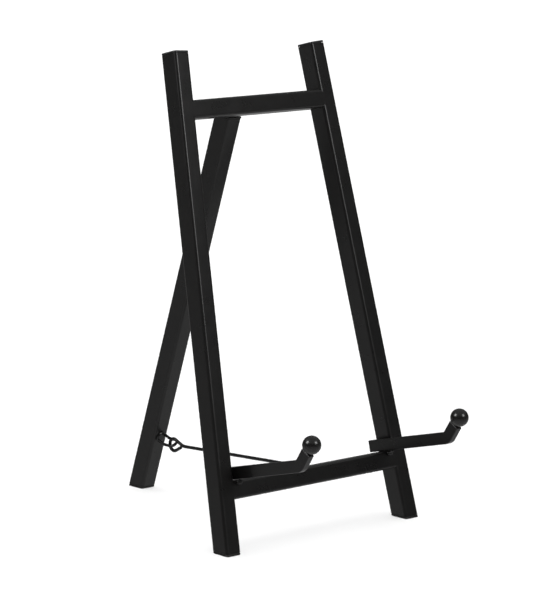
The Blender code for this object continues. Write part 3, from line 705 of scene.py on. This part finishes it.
def eye_pad():
    """Weld pad with sloping sides round the eye's root."""
    face, _, _, _, square, _ = eye_places()
    put_tools_down()
    bpy.ops.mesh.primitive_cone_add(vertices=ROUND_SIDES, radius1=EYE_PAD_R,
                                    radius2=EYE_PAD_R - EYE_PAD_T, depth=EYE_PAD_T,
                                    rotation=(math.pi / 2, 0, 0),
                                    location=face + square * (GAP + EYE_PAD_T / 2))
    pad = bpy.context.object
    pad.name = pad.data.name = "eye_weld_pad"
    bpy.ops.object.transform_apply(location=True, rotation=True, scale=True)
    break_edges(pad, EYE_PAD_EDGE, 4, 30.0)
    set_in_place(pad, IN_REAR_LEG)
    hand_over(pad, "rear_leg", PAINT, "leg_eye_weld")


def bar_eye():
    """Wire staple on the bottom crossbar's back that takes the stay's hook."""
    out, across = Vector((0, 1, 0)), Vector((1, 0, 0))
    centre = Vector((0, HOOK_BACK, BAR_EYE_UP))
    foot = Vector((0, TUBE_D + GAP, BAR_EYE_UP))
    line = ([foot + across * BAR_EYE_HALF] + half_turn(centre, out, across, BAR_EYE_HALF)
            + [foot - across * BAR_EYE_HALF])
    eye = bent_wire("crossbar_eye_wire", line, EYE_WIRE)
    set_in_place(eye, IN_FRAME)
    hand_over(eye, "front_frame", STEEL, "bar_eye", WIRE_SHARP_ABOVE)


def stay():
    """Wire stay: loop on the leg's eye, straight run, hook down into the crossbar's eye."""
    hook = IN_FRAME @ Vector((0, HOOK_BACK, HOOK_UP))
    length = math.hypot(hook.y - LOOP.y, hook.z - LOOP.z)
    rise = math.atan2(hook.z - LOOP.z, LOOP.y - hook.y)
    tangent = math.acos(LOOP_R / LOOP_NECK)
    circle = []
    for i in range(LOOP_STEPS + 1):
        angle = tangent + 2 * (math.pi - tangent) * i / LOOP_STEPS
        circle.append(Vector((0, -LOOP_R * math.cos(angle), LOOP_R * math.sin(angle))))
    neck = Vector((0, -LOOP_NECK, 0))
    corner = Vector((0, -length, 0))
    drop = -(math.pi / 2 - (LEAN - rise))
    tip = corner + Vector((0, -math.cos(drop), math.sin(drop))) * HOOK_DROP
    line = [tip] + round_corner(tip, corner, neck, HOOK_BEND_R)
    line += round_corner(corner, neck, circle[0], LOOP_NECK)
    line += circle + [neck + (circle[-1] - neck).normalized() * LOOP_OPEN]
    wire = bent_wire("wire_stay", line, STAY_WIRE)
    set_in_place(wire, Matrix.Translation((0, LOOP.y, LOOP.z)) @ Matrix.Rotation(-rise, 4, "X"))
    hand_over(wire, "stay", STEEL, "stay_hook", WIRE_SHARP_ABOVE)


for side, word in SIDES:
    front_leg(side, word)
    top_plug(side, word)
    foot_pad(f"{word}_rubber_foot", f"{word}_foot_pad", "front_frame", leg_place(side), 0.0,
             TUBE_D / 2 * math.tan(LEAN))
    hook_arm(side, word)
    ball_tip(side, word)
    weld_bead(side, word)
crossbar("top", TOP_BAR_UP)
crossbar("bottom", BOTTOM_BAR_UP)
hinge_frame_leaf()
hinge_pin()
bar_eye()
hinge_leg_leaf()
rear_leg()
foot_pad("rear_rubber_foot", "rear_foot_pad", "rear_leg", IN_REAR_LEG, -PIN_IN_LEG,
         -PIN.z / math.cos(REAR_LEAN) - (TUBE_D / 2 - PIN_IN_LEG) * math.tan(REAR_LEAN))
eye_pad()
leg_eye()
stay()


# ------------------------------------------------------------------ studio

FLOOR_SIZE = 60.0
# grey of the room by height, from straight down at 0 to straight up at 1
ROOM_GREYS = ((0.0, 0.62), (1.0, 0.45), (0.22, 0.56), (0.415, 0.31), (0.50, 0.13), (0.62, 0.07),
              (0.70, 0.22), (0.82, 0.42))
SUN_STRENGTH = 2.85
SUN_SPREAD = math.radians(60)
SUN_TILT = (math.radians(-12), math.radians(8), 0)
BOX_SIZE = 0.60
BOX_DISTANCE = 1.6
BOX_AIM = Vector((0, 0, 0.12))
BOXES = (("left_box", (-0.794, 0.214, 0.570), 13.0), ("right_box", (0.237, -0.844, 0.481), 8.5))

SENSOR = 36.0
LENS = 192.58
CAMERA_AT = Vector((-1.44568, -1.50985 + FRAME_FOOT_Y * MM, 0.52459))
CAMERA_RIGHT = Vector((0.73641, -0.67638, 0.01447))
CAMERA_UP = Vector((0.10471, 0.13508, 0.98529))
CAMERA_BACK = Vector((-0.66838, -0.72406, 0.17030))


def paper_floor():
    """Plain white sweep that isn't mirrored in the paint."""
    put_tools_down()
    bpy.ops.mesh.primitive_plane_add(size=FLOOR_SIZE, location=(0, 0, 0))
    floor = bpy.context.object
    floor.name = "floor"
    paper = Finish("white_paper", specular=0.0)
    paper.shader.inputs["Roughness"].default_value = 0.9
    paper.link(paper.tint(paper.noise(3.0), (0.93, 0.93, 0.93), (0.95, 0.95, 0.95)),
               paper.shader.inputs["Base Color"])
    floor.data.materials.append(paper.material)
    floor.visible_glossy = False


def room():
    """Grey room whose brightness goes by height."""
    world = bpy.data.worlds.new("studio")
    world.use_nodes = True
    tree = world.node_tree
    place = tree.nodes.new("ShaderNodeTexCoord")
    split = tree.nodes.new("ShaderNodeSeparateXYZ")
    height = tree.nodes.new("ShaderNodeMapRange")
    ramp = tree.nodes.new("ShaderNodeValToRGB")
    height.inputs["From Min"].default_value = -1.0
    tree.links.new(place.outputs["Generated"], split.inputs["Vector"])
    tree.links.new(split.outputs["Z"], height.inputs["Value"])
    tree.links.new(height.outputs["Result"], ramp.inputs["Fac"])
    tree.links.new(ramp.outputs["Color"], tree.nodes["Background"].inputs["Color"])
    stops = ramp.color_ramp.elements
    for number, (position, grey) in enumerate(ROOM_GREYS):
        stop = stops[number] if number < 2 else stops.new(position)
        stop.position = position
        stop.color = (grey, grey, grey, 1)
    bpy.context.scene.world = world


def overhead_light():
    """Broad light that whitens the floor, without shadows or a highlight of its own."""
    sun = bpy.data.lights.new("overhead", "SUN")
    sun.energy = SUN_STRENGTH
    sun.use_shadow = False
    sun.angle = SUN_SPREAD
    overhead = bpy.data.objects.new("overhead", sun)
    overhead.rotation_euler = SUN_TILT
    overhead.visible_glossy = False
    bpy.context.scene.collection.objects.link(overhead)


def soft_box(name, towards, power):
    """Square light that shows in the paint's sheen alone."""
    area = bpy.data.lights.new(name, "AREA")
    area.shape = "SQUARE"
    area.size = BOX_SIZE
    area.energy = power
    lamp = bpy.data.objects.new(name, area)
    lamp.visible_diffuse = False
    direction = Vector(towards).normalized()
    lamp.location = BOX_AIM + direction * BOX_DISTANCE
    lamp.rotation_euler = direction.to_track_quat("Z", "Y").to_euler()
    bpy.context.scene.collection.objects.link(lamp)


def camera():
    """Long lens, in front of the easel on its left."""
    lens = bpy.data.cameras.new("camera")
    lens.sensor_width = SENSOR
    lens.lens = LENS
    lens.clip_end = 100.0
    body = bpy.data.objects.new("camera", lens)
    place = Matrix.Identity(4)
    for column, axis in enumerate((CAMERA_RIGHT, CAMERA_UP, CAMERA_BACK)):
        for row in range(3):
            place[row][column] = axis[row]
    place.translation = CAMERA_AT
    body.matrix_world = place
    bpy.context.scene.collection.objects.link(body)
    bpy.context.scene.camera = body


paper_floor()
room()
overhead_light()
for box in BOXES:
    soft_box(*box)
camera()
view = bpy.context.scene.view_settings
view.view_transform = "Standard"
view.look = "None"
